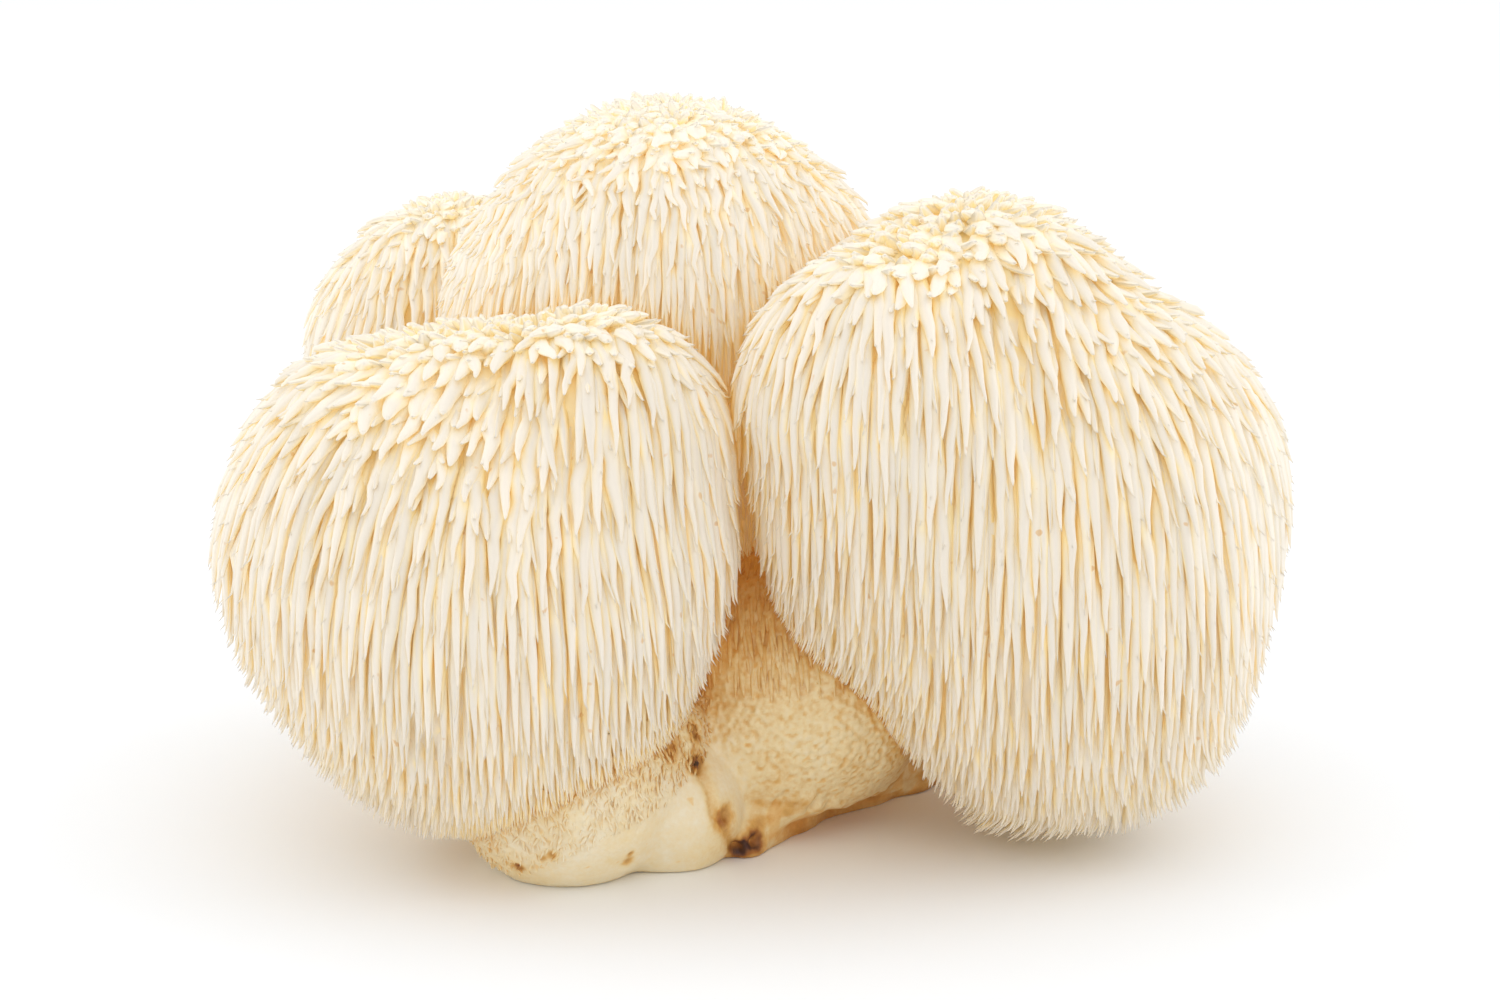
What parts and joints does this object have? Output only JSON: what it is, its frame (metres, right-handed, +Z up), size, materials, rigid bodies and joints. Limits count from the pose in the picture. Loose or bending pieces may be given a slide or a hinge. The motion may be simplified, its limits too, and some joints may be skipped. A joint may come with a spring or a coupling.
{
  "type": "lions mane mushroom",
  "caption": "Lion's mane mushroom: a cluster of rounded lobes clothed in hanging cream spines on one short foot, cut off flat below.",
  "frame": {"origin": "on the flat cut under the foot, below the middle of the cluster", "axes": "+Z up from the cut, +X along the longest extent towards the large right lobe, -Y towards the side where the foot shows"},
  "size_m": [0.1835, 0.1359, 0.12],
  "materials": {
    "flesh": "matte"
  },
  "bodies": {
    "root": {"mushroom": "flesh"}
  },
  "joints": []
}
